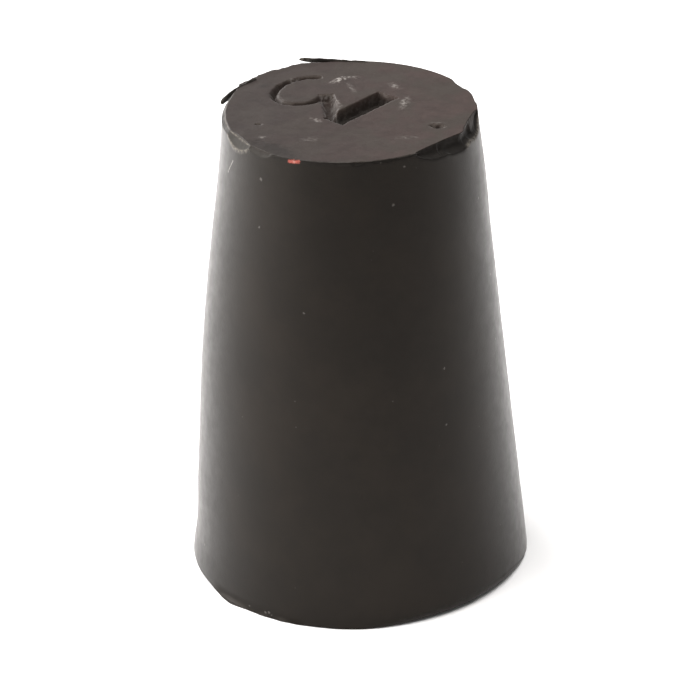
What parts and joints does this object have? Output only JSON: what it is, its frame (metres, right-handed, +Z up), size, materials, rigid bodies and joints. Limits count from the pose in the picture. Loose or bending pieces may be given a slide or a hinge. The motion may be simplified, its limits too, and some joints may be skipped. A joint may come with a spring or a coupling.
{
  "type": "rubber stopper",
  "caption": "Solid tapered rubber plug that stands on its wide end, with a sunk size figure in the narrow end and hand-trimmed, flashed edges.",
  "frame": {"origin": "centre of the wide end, which it stands on", "axes": "+Z up the plug's axis towards the narrow end; the sunk figure's feet point towards +Y"},
  "size_m": [0.0204, 0.0204, 0.0293],
  "materials": {
    "black_rubber": "matte moulded black rubber with a faint grey bloom"
  },
  "bodies": {
    "root": {"stopper": "black_rubber"}
  },
  "joints": []
}
